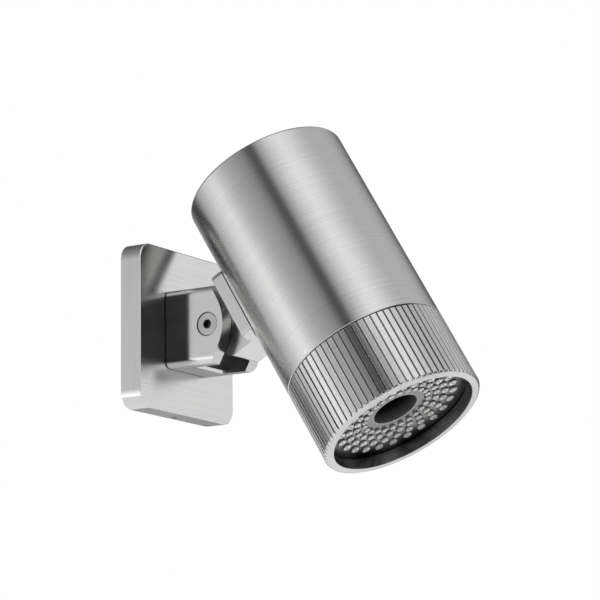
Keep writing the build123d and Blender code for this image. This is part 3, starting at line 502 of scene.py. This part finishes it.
def add_turned(mesh, rows, centre, axis, side, stations, closed):
    """Add a turned form to the mesh and give its rings of corners.

    A row is a height and a radius, or a rule for it from the angle; a station is an angle and the
    largest radius there."""
    other = axis.cross(side)
    rings = []
    for height, radius in rows:
        ring = []
        for angle, limit in stations:
            reach = min(limit, radius(angle) if callable(radius) else radius)
            outward = side * cos(angle) + other * sin(angle)
            ring.append(mesh.verts.new(centre + axis * height + outward * reach))
        rings.append(ring)
    pairs = list(zip(rings, rings[1:])) + ([(rings[-1], rings[0])] if closed else [])
    for lower, upper in pairs:
        for step in range(len(stations)):
            following = (step + 1) % len(stations)
            mesh.faces.new((lower[step], lower[following], upper[following], upper[step]))
    return rings


def finish_piece(mesh, name, body, material, replaced, smooth_angle=radians(32)):
    """Turn the mesh in hand into a named piece that rides a body in place of CAD nodes."""
    bmesh.ops.recalc_face_normals(mesh, faces=mesh.faces)
    data = bpy.data.meshes.new(name)
    mesh.to_mesh(data)
    mesh.free()
    data.shade_smooth()
    data.set_sharp_from_angle(angle=smooth_angle)
    data.materials.append(material)
    piece = bpy.data.objects.new(name, data)
    bpy.context.scene.collection.objects.link(piece)
    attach(piece, body)
    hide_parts(*replaced)


class SHOWER_OT_brushed_steel(bpy.types.Operator):
    """Brush the plate, arm, swivel block and cylinder"""

    bl_idname = "shower.brushed_steel"
    bl_label = "Brush the steel"

    def execute(self, context):
        steel = context.scene.shower_steel
        smoother = steel.mount_roughness
        slot_half_width, slot_floor = 0.01135, -0.02538
        plate_steel = straight_steel("plate_steel", steel, (0, 0, 1), roughness=smoother)
        dress(plate_steel, "wall_plate")
        # The arm's slot gets painted shade.
        arm_steel = straight_steel(
            "arm_steel", steel, (0, 1, 0), roughness=smoother, slot=(slot_half_width, slot_floor)
        )
        dress(arm_steel, "fork_arm")
        dress(straight_steel("swivel_steel", steel, head_up, roughness=smoother), "swivel_block")
        dress(turned_steel("cylinder_steel", rim_centre, head_up, steel), "head_shell")
        return {"FINISHED"}


class SHOWER_OT_grooved_ring(bpy.types.Operator):
    """Build the grooved ring with its broken groove edges and rounded rim"""

    bl_idname = "shower.grooved_ring"
    bl_label = "Build the grooved ring"

    def execute(self, context):
        grip = context.scene.shower_ring
        points = head_section("grooved_ring")
        outer = max(radius for height, radius in points)
        top = max(height for height, radius in points)
        recess = min(radius for height, radius in points if height < outer / 100)
        bore = min(radius for height, radius in points if height > top / 2)
        ledge = max(height for height, radius in points if radius < (recess + bore) / 2)
        inner_edge, top_edge = 0.0002, 0.0003
        bevel = min(height for height, radius in points if radius > outer - inner_edge / 2)
        bulge = bevel * grip.rim_bulge
        rows = [
            (ledge, recess), (inner_edge, recess), (0.0, recess + inner_edge),
            (0.0, outer - bevel - inner_edge), (0.0, outer - bevel),
            (bulge, outer - bulge), (bevel, outer), (bevel + inner_edge, outer),
            (top - top_edge, outer), (top, outer - top_edge), (top, bore), (ledge, bore),
        ]
        mesh = bmesh.new()
        add_turned(mesh, rows, rim_centre, head_up, across, self.stations(grip, outer), True)

        def shading(finish, radius, height):
            """Painted shade: darker recess wall, nearly black where it meets the face, and dark groove
            floors.
            """
            wall_share, junction_share, groove_share = 0.30, 0.08, 0.25
            depth = grip.groove_depth
            wall = finish.spread(radius, wall_share, 1.0, recess + inner_edge / 2, recess + inner_edge)
            junction_shade = finish.spread(height, 1.0, junction_share, ledge * 0.91, ledge * 0.94)
            groove = finish.spread(radius, groove_share, 1.0, outer - depth * 0.7, outer - depth * 0.4)
            outside = finish.math("GREATER_THAN", radius, recess + inner_edge)
            inside = finish.math("LESS_THAN", radius, recess + inner_edge)
            rim = finish.math("LESS_THAN", height, bevel)
            recess_shade = finish.math("MULTIPLY", wall, finish.math("MAXIMUM", junction_shade, outside))
            grip_shade = finish.math("MAXIMUM", groove, finish.math("MAXIMUM", rim, inside))
            return finish.math("MULTIPLY", recess_shade, grip_shade)

        steel = turned_steel("ring_steel", rim_centre, head_up, context.scene.shower_steel, shading=shading)
        finish_piece(mesh, "grooved_ring_cut", "spray_front", steel, ("grooved_ring",))
        return {"FINISHED"}

    def stations(self, grip, outer):
        """Angles round the ring: six for each groove with its broken edges, two on the land beyond it."""
        floor, broken = outer - grip.groove_depth, outer - grip.groove_edge
        half = grip.groove_width / 2 / outer
        edge = grip.groove_edge / outer
        pitch = 2 * pi / grip.grooves
        land_start, land_end = pitch * 0.37, pitch * 0.63
        stations = []
        for groove in range(grip.grooves):
            middle = grip.first_groove + groove * pitch
            stations += [
                (middle - half - edge, inf), (middle - half, broken), (middle - half, floor),
                (middle + half, floor), (middle + half, broken), (middle + half + edge, inf),
                (middle + land_start, inf), (middle + land_end, inf),
            ]
        return stations


class SHOWER_OT_fasteners(bpy.types.Operator):
    """Finish the bolts, screws, pin and bracket"""

    bl_idname = "shower.fasteners"
    bl_label = "Finish the fasteners"

    def execute(self, context):
        steel = context.scene.shower_steel
        trim = context.scene.shower_trim
        along, stretch = 40.0, 0.5

        def socket(finish, radius, height):
            """Painted shade in the hexagon socket."""
            return finish.spread(radius, 0.3, 1.0, start=0.0022, end=0.0025)

        bolt_steel = turned_steel(
            "pivot_bolt_steel", pivot_centre, across, steel, along, stretch, tuple(trim.bolt), socket
        )
        dress(bolt_steel, "pivot_bolt")
        dress(turned_steel("centre_bolt_steel", rim_centre, head_up, steel, along, stretch), "centre_bolt")
        bracket_steel = straight_steel("bracket_steel", steel, (0, 0, 1), colour=tuple(trim.bracket))
        dress(bracket_steel, "wall_bracket")
        screw_steel = grained(
            "screw_steel", tuple(trim.screws), roughness=0.32, scale=900.0, metallic=1.0, relief=0.00001
        )
        dress(screw_steel, "arm_screws", "saddle_screws", "plate_grub_screw", "stop_pin")
        return {"FINISHED"}


class SHOWER_OT_seals(bpy.types.Operator):
    """Finish the seals, gaskets, washers, glide band and flow limiter"""

    bl_idname = "shower.seals"
    bl_label = "Finish seals and washers"

    def execute(self, context):
        trim = context.scene.shower_trim
        rubber = grained(
            "black_rubber", tuple(trim.rubber), roughness=0.62, scale=700.0, relief=0.00005, contrast=0.25
        )
        dress(
            rubber, "wall_seal", "nipple_seal", "arm_gasket", "pivot_seal_left", "pivot_seal_right",
            "saddle_gasket", "feed_seal", "core_seal", "port_seal", "bolt_seal",
        )
        slippery = grained("washer_plastic", tuple(trim.washers), roughness=0.42, scale=500.0, contrast=0.05)
        dress(
            slippery, "friction_washer_left", "friction_washer_right", "glide_band", "thrust_washer",
            "flow_limiter",
        )
        return {"FINISHED"}


class SHOWER_OT_water_way(bpy.types.Operator):
    """Finish the filter, feed block, tube, core and distributor"""

    bl_idname = "shower.water_way"
    bl_label = "Finish the water way"

    def execute(self, context):
        trim = context.scene.shower_trim
        moulded = grained(
            "moulded_plastic", tuple(trim.moulded), roughness=0.48, scale=420.0, relief=0.00004, contrast=0.15
        )
        dress(moulded, "core_housing", "distributor")
        brass = grained(
            "machined_brass", tuple(trim.brass), roughness=0.28, scale=800.0, metallic=1.0, relief=0.00001
        )
        dress(brass, "feed_block", "feed_tube", "inlet_nipple")
        mesh_steel = grained(
            "filter_mesh", tuple(trim.screws), roughness=0.38, scale=1500.0, metallic=1.0,
            relief=0.00004, contrast=0.3,
        )
        dress(mesh_steel, "filter_screen")
        return {"FINISHED"}


class SHOWER_OT_spray_face(bpy.types.Operator):
    """Finish the spray plate and the insert in its central well"""

    bl_idname = "shower.spray_face"
    bl_label = "Finish the spray face"

    def execute(self, context):
        steel = context.scene.shower_steel
        dark = tuple(context.scene.shower_spray.face_colour)

        def painted_border_shade(finish, radius, height):
            """Painted shade, darker towards the recess wall."""
            return finish.spread(radius, 1.0, 0.06, start=0.0255, end=0.0354)

        plate_steel = turned_steel(
            "spray_plate_steel", rim_centre, head_up, steel,
            anisotropic=0.4, colour=dark, shading=painted_border_shade,
        )
        dress(plate_steel, "spray_plate")
        insert_dark, insert_light = (0.17, 0.17, 0.17), (0.21, 0.21, 0.21)
        well_mouth, well_shaded = 0.0083, 0.0150
        insert = Finish("insert_plastic")
        place = insert.place()
        fine = insert.noise(place, 500.0, 4.0)
        height = insert.height_over(place, rim_centre, head_up)
        # Painted shade: the insert darkens to nearly black deeper in the well.
        lit = insert.spread(height, 1.0, 0.03, well_mouth, well_shaded)
        shade = insert.blend_colours(insert.spread(fine, 0.0, 1.0), insert_dark, insert_light)
        shade = insert.vector("MULTIPLY", shade, lit)
        rough = insert.spread(fine, 0.35, 0.5)
        dress(insert.complete(shade, rough, insert.relief(fine, 0.00003, strength=0.4)), "jet_insert")
        return {"FINISHED"}


class SHOWER_OT_nozzles(bpy.types.Operator):
    """Build the soft mat with a bored nozzle for each hole of the plate"""

    bl_idname = "shower.nozzles"
    bl_label = "Build the nozzles"

    # The plate's dished face, as heights over the rim at two radii, its thickness and the mat's
    land_height, land_radius = 0.0083, 0.014
    lip_height, lip_radius = 0.0062, 0.034
    plate, mat = 0.0012, 0.0012
    slope = (land_height - lip_height) / (lip_radius - land_radius)

    def execute(self, context):
        spray = context.scene.shower_spray
        mesh = bmesh.new()
        self.add_mat(mesh)
        for ring in range(spray.rings):
            for place in range(spray.per_ring):
                self.add_nozzle(mesh, spray, ring, place)
        silicone = self.silicone(spray)
        finish_piece(mesh, "nozzle_mat_bored", "spray_front", silicone, ("nozzle_mat",))
        return {"FINISHED"}

    def add_mat(self, mesh):
        """Add the mat, which lies on the back of the plate."""
        inner, outer = 0.01245, 0.0368
        land, lip = self.land_height + self.plate, self.lip_height + self.plate
        rows = [
            (land, inner), (land, self.land_radius), (lip, self.lip_radius), (lip, outer),
            (lip + self.mat, outer), (lip + self.mat, self.lip_radius),
            (land + self.mat, self.land_radius), (land + self.mat, inner),
        ]
        add_turned(mesh, rows, rim_centre, head_up, across, even_stations(96), True)

    def add_nozzle(self, mesh, spray, ring, place):
        """Add one nozzle: a cone from inside the mat to a rounded tip, and the blind outlet bore in it."""
        taper = tan(radians(5))
        radius = spray.first_radius + ring * spray.ring_pitch
        angle = spray.start_angle + ring * spray.ring_twist + 2 * pi * place / spray.per_ring
        face = self.land_height - self.slope * (radius - self.land_radius)
        base = head_point(face - spray.stand_out, radius, angle)
        tip = spray.tip_radius + ring * spray.tip_growth
        bore = tip * spray.outlet
        round_edge = 0.18 * tip
        root = spray.stand_out + self.plate * 1.5
        profile = [
            (root, tip + root * taper),
            (round_edge, tip + round_edge * taper),
            (round_edge * 0.3, tip - round_edge * 0.3),
            (0.0, tip - round_edge),
            (0.0, bore + round_edge * 0.5),
            (round_edge * 0.5, bore),
            (spray.stand_out * 1.8, bore * 0.85),
        ]
        rings = add_turned(mesh, profile, base, head_up, across, even_stations(24), False)
        mesh.faces.new(rings[-1])

    def silicone(self, spray):
        """Soft grey silicone, with painted shade from just under the tip down to the plate."""
        colour = tuple(spray.nozzle_colour)
        finish = Finish("nozzle_silicone")
        place = finish.place()
        fine = finish.noise(place, 900.0, 3.0)
        broad = finish.noise(place, 160.0, 2.0)
        height = finish.height_over(place, rim_centre, head_up)
        reach = finish.vector("LENGTH", finish.out_from(place, rim_centre, head_up))
        level_at_axis = self.land_height + self.slope * self.land_radius - spray.stand_out
        tip_level = finish.math("MULTIPLY_ADD", reach, -self.slope, level_at_axis)
        below_tip = finish.math("SUBTRACT", height, tip_level)
        # Painted shade on the nozzle's sides, from just under the tip down to the plate.
        painted_root_shade = finish.spread(below_tip, 1.0, 0.2, start=0.00035, end=0.0008)
        mottle = finish.spread(broad, 0.0, 1.0)
        shade = finish.blend_colours(mottle, tint(colour, 0.85), tint(colour, 1.12))
        shade = finish.vector("MULTIPLY", shade, painted_root_shade)
        finish.surface.inputs["Subsurface Weight"].default_value = 0.08
        finish.surface.inputs["Subsurface Radius"].default_value = (0.001, 0.001, 0.001)
        rough = finish.spread(fine, 0.22, 0.34)
        return finish.complete(shade, rough, finish.relief(fine, 0.00003, strength=0.4))


class SHOWER_OT_inlet(bpy.types.Operator):
    """Build the inlet nipple with its thread, hexagon socket and seal groove"""

    bl_idname = "shower.inlet"
    bl_label = "Build the inlet"

    def execute(self, context):
        inlet = context.scene.shower_inlet
        low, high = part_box("inlet_nipple")
        mouth, end = high.y, low.y
        thread_radius, collar_radius, spigot_radius, bore_radius = 0.01048, 0.0125, 0.008, 0.0045
        filter_seat, filter_seat_radius = 0.0118, 0.00755
        collar_end, collar_edge, spigot_edge = -0.005, 0.0004, 0.0003
        groove = end + 0.0029
        groove_half, groove_depth = 0.0009, 0.0013
        socket_half, socket_depth = 0.005, 0.008
        lead_in, run_out, lead_share = 0.001, 0.0012, 0.3
        rows_per_turn = 12

        def socket(angle):
            """Reach of a hexagon 10 mm across its flats."""
            return socket_half / cos((angle + pi / 6) % (pi / 3) - pi / 6)

        def thread(height):
            """Rule for the radius at this height: a helix, shallower at the mouth, ending at the collar."""

            def reach(angle):
                turn = (height / inlet.thread_pitch + angle / (2 * pi)) % 1.0
                valley = 1 - abs(2 * turn - 1)
                lead = min(1.0, max(0.0, (mouth - height) / lead_in))
                run = min(1.0, max(0.0, height / run_out))
                cut = inlet.thread_depth * valley * run * (lead_share + (1 - lead_share) * lead)
                return thread_radius - (1 - lead) * lead_in - cut

            return reach

        steps = int((mouth / inlet.thread_pitch) * rows_per_turn)
        rows = (
            [(filter_seat, bore_radius), (filter_seat, filter_seat_radius), (mouth, filter_seat_radius)]
            + [(mouth * step / steps, thread(mouth * step / steps)) for step in range(steps, -1, -1)]
            + [
                (0.0, collar_radius - collar_edge), (-collar_edge, collar_radius),
                (collar_end + collar_edge, collar_radius), (collar_end, collar_radius - collar_edge),
                (collar_end, spigot_radius),
                (groove + groove_half, spigot_radius), (groove + groove_half, spigot_radius - groove_depth),
                (groove - groove_half, spigot_radius - groove_depth), (groove - groove_half, spigot_radius),
                (end + spigot_edge, spigot_radius), (end, spigot_radius - spigot_edge), (end, socket),
                (end + socket_depth, socket), (end + socket_depth, bore_radius),
            ]
        )
        mesh = bmesh.new()
        add_turned(mesh, rows, Vector((0, 0, 0)), Vector((0, 1, 0)), across, even_stations(72), True)
        brass = bpy.data.materials["machined_brass"]
        replaced = ("inlet_nipple",)
        finish_piece(mesh, "inlet_nipple_threaded", "wall_mount", brass, replaced, radians(24))
        return {"FINISHED"}


class SHOWER_OT_studio(bpy.types.Operator):
    """Set up the camera, floor, lamps and world"""

    bl_idname = "shower.studio"
    bl_label = "Set up the studio"

    def execute(self, context):
        studio = context.scene.shower_studio
        scene = context.scene
        scene.view_settings.view_transform = "Standard"
        azimuth, elevation = studio.azimuth, studio.elevation
        back = Vector((sin(azimuth) * cos(elevation), -cos(azimuth) * cos(elevation), sin(elevation)))
        right = (-back).cross(Vector((0, 0, 1))).normalized()
        toward = Vector((back.x, back.y, 0)).normalized()
        self.add_camera(scene, studio, right, back)
        self.add_lamp(scene, "key_box", toward, swing=50, rise=55, distance=1.6, size=0.7, power=6)
        self.add_lamp(scene, "face_box", toward, swing=140, rise=-33, distance=0.8, size=0.3, power=8)
        self.add_floor(scene, -toward * 0.5, -studio.floor_depth)
        self.add_tent(scene, right, back, studio.light)
        return {"FINISHED"}

    def add_camera(self, scene, studio, right, back):
        """Add the photo's camera, which looks against back."""
        up = right.cross(-back)
        rolled_right = right * cos(studio.roll) + up * sin(studio.roll)
        rolled_up = up * cos(studio.roll) - right * sin(studio.roll)
        data = bpy.data.cameras.new("photo_camera")
        data.lens = studio.lens
        data.sensor_width = 36.0
        data.clip_start = 0.01
        camera = bpy.data.objects.new("photo_camera", data)
        turn = Matrix((rolled_right, rolled_up, back)).transposed().to_4x4()
        camera.matrix_world = Matrix.Translation(Vector(studio.place)) @ turn
        scene.collection.objects.link(camera)
        scene.camera = camera

    def add_lamp(self, scene, name, toward, swing, rise, distance, size, power):
        """Add a soft box at this swing and rise from the camera's side, in degrees, aimed at the object."""
        angle = radians(swing)
        level = Vector((
            toward.x * cos(angle) - toward.y * sin(angle),
            toward.x * sin(angle) + toward.y * cos(angle),
            0,
        ))
        direction = level * cos(radians(rise)) + Vector((0, 0, sin(radians(rise))))
        light = bpy.data.lights.new(name, "AREA")
        light.shape = "SQUARE"
        light.size = size
        light.energy = power
        box = bpy.data.objects.new(name, light)
        box.location = (cad_box[0] + cad_box[1]) / 2 + direction * distance
        box.rotation_euler = (-direction).to_track_quat("-Z", "Y").to_euler()
        box.visible_glossy = False
        box.visible_camera = False
        scene.collection.objects.link(box)

    def add_floor(self, scene, centre, height):
        """Add a square of pale paper that fades to white and is clear to a camera below it."""
        reach = 1.3
        fade_start, fade_end = reach * 0.35, reach * 0.95
        mesh = bmesh.new()
        corners = ((-reach, -reach), (reach, -reach), (reach, reach), (-reach, reach))
        mesh.faces.new([mesh.verts.new((centre.x + x, centre.y + y, height)) for x, y in corners])
        data = bpy.data.meshes.new("floor")
        mesh.to_mesh(data)
        mesh.free()
        floor = bpy.data.objects.new("floor", data)
        scene.collection.objects.link(floor)
        paper = Finish("floor_paper")
        place = paper.place()
        fibres = paper.spread(paper.noise(place, 60.0, 4.0), 0.0, 1.0)
        shade = paper.blend_colours(fibres, (0.86, 0.86, 0.86), (0.9, 0.9, 0.9))
        data.materials.append(paper.complete(shade, 0.9))
        from_middle = paper.vector("LENGTH", paper.vector("SUBTRACT", place, (centre.x, centre.y, height)))
        white_share = paper.spread(from_middle, 0.75, 1.0, fade_start, fade_end)
        lit = paper.seen_white(paper.surface.outputs[0], white_share, "Is Camera Ray")
        lit = paper.seen_white(lit, 1.0, "Is Glossy Ray", "Is Transmission Ray")
        behind = paper.node("ShaderNodeNewGeometry").outputs["Backfacing"]
        seen = paper.node("ShaderNodeLightPath").outputs["Is Camera Ray"]
        from_below = paper.math("MULTIPLY", behind, seen)
        clear = paper.node("ShaderNodeBsdfTransparent")
        surface = paper.node("ShaderNodeMixShader", from_below, lit, clear.outputs[0])
        paper.feed(paper.tree.nodes["Material Output"].inputs["Surface"], surface.outputs[0])

    def add_tent(self, scene, right, back, light):
        """Add a world light whose level depends on direction only, and which the camera sees as white."""
        world = bpy.data.worlds.new("studio_world")
        world.use_nodes = True
        scene.world = world
        tent = Wiring(world.node_tree)
        direction = tent.node("ShaderNodeTexCoord").outputs["Generated"]
        height = tent.node("ShaderNodeSeparateXYZ", direction).outputs["Z"]
        gap_side = back.cross(head_up).normalized()
        aside = tent.vector("DOT_PRODUCT", direction, tuple(gap_side))
        ahead = tent.vector("DOT_PRODUCT", direction, tuple(back))
        beside = tent.vector("DOT_PRODUCT", direction, tuple(right))

        # The camera's half: bright to one side, dim in the middle, and rising again to the other
        near = tent.ramp(aside, (
            (-0.95, 0.72), (-0.72, 1.04), (-0.5, 1.12), (-0.34, 1.02), (-0.16, 0.68), (-0.05, 0.2),
            (0.05, 0.16), (0.22, 0.34), (0.56, 0.53), (0.69, 0.7), (0.8, 1.0), (0.9, 1.65),
        ))

        # A dark upright band behind the camera, which fades out 30 to 40 degrees above level
        post = tent.ramp(beside, ((-0.46, 1.0), (-0.3, 0.02), (0.24, 0.02), (0.38, 1.0)))
        post = tent.lighten(post, tent.ease(height, 0.48, 0.64))
        near = tent.vector("MULTIPLY", near, post)

        # A soft dark flag nearly straight out from the wall
        flag_place = Vector((0.22, -0.97, -0.07)).normalized()
        flag = tent.vector("DOT_PRODUCT", direction, tuple(flag_place))
        near = tent.vector("MULTIPLY", near, tent.ease(flag, 0.8, 0.96, 1.0, 0.02))

        # The half beyond the object: two dark stripes, less light high up and below level, and white
        # far below
        far = tent.ramp(aside, (
            (-0.9, 1.0), (-0.83, 0.9), (-0.69, 0.7), (-0.56, 0.35), (-0.4, 0.08), (-0.2, 0.1),
            (0.18, 0.4), (0.34, 0.42), (0.48, 0.22), (0.57, 0.04), (0.8, 0.03), (0.87, 0.5), (0.92, 1.7),
        ))
        high = tent.ease(height, 0.25, 0.65, 1.0, 0.62)
        low = tent.ease(height, -0.14, 0.0, 0.6, 1.0)
        far = tent.vector("MULTIPLY", tent.vector("MULTIPLY", far, high), low)
        far = tent.lighten(far, tent.ease(height, -0.3, -0.42))

        glow = tent.node("ShaderNodeBackground")
        tent.feed(glow.inputs["Color"], tent.mix("RGBA", tent.ease(ahead, -0.2, 0.15), far, near))
        tent.feed(glow.inputs["Strength"], light)
        seen = tent.seen_white(glow.outputs[0], 1.0, "Is Camera Ray")
        tent.feed(tent.tree.nodes["World Output"].inputs["Surface"], seen)


class SHOWER_PT_panel(bpy.types.Panel):
    """Lists the steps and settings of the shower head"""

    bl_idname = "SHOWER_PT_panel"
    bl_label = "Shower head"
    bl_space_type = "VIEW_3D"
    bl_region_type = "UI"
    bl_category = "Shower head"

    def draw(self, context):
        for step in STEPS:
            self.layout.operator(step.bl_idname)
        for name in SETTINGS:
            group = getattr(context.scene, name)
            box = self.layout.box()
            for key in group.bl_rna.properties.keys():
                if key not in ("rna_type", "name"):
                    box.prop(group, key)


STEPS = (
    SHOWER_OT_brushed_steel,
    SHOWER_OT_grooved_ring,
    SHOWER_OT_fasteners,
    SHOWER_OT_seals,
    SHOWER_OT_water_way,
    SHOWER_OT_spray_face,
    SHOWER_OT_nozzles,
    SHOWER_OT_inlet,
    SHOWER_OT_studio,
)
SETTINGS = {
    "shower_steel": SteelSettings,
    "shower_trim": TrimSettings,
    "shower_spray": SpraySettings,
    "shower_ring": RingSettings,
    "shower_inlet": InletSettings,
    "shower_studio": StudioSettings,
}


def register():
    for name, group in SETTINGS.items():
        bpy.utils.register_class(group)
        setattr(bpy.types.Scene, name, PointerProperty(type=group))
    for step in (*STEPS, SHOWER_PT_panel):
        bpy.utils.register_class(step)


def unregister():
    for step in reversed((*STEPS, SHOWER_PT_panel)):
        bpy.utils.unregister_class(step)
    for name, group in SETTINGS.items():
        delattr(bpy.types.Scene, name)
        bpy.utils.unregister_class(group)


def main():
    register()
    bpy.ops.shower.brushed_steel()
    bpy.ops.shower.grooved_ring()
    bpy.ops.shower.fasteners()
    bpy.ops.shower.seals()
    bpy.ops.shower.water_way()
    bpy.ops.shower.spray_face()
    bpy.ops.shower.nozzles()
    bpy.ops.shower.inlet()
    bpy.ops.shower.studio()


if __name__ == "__main__":
    main()
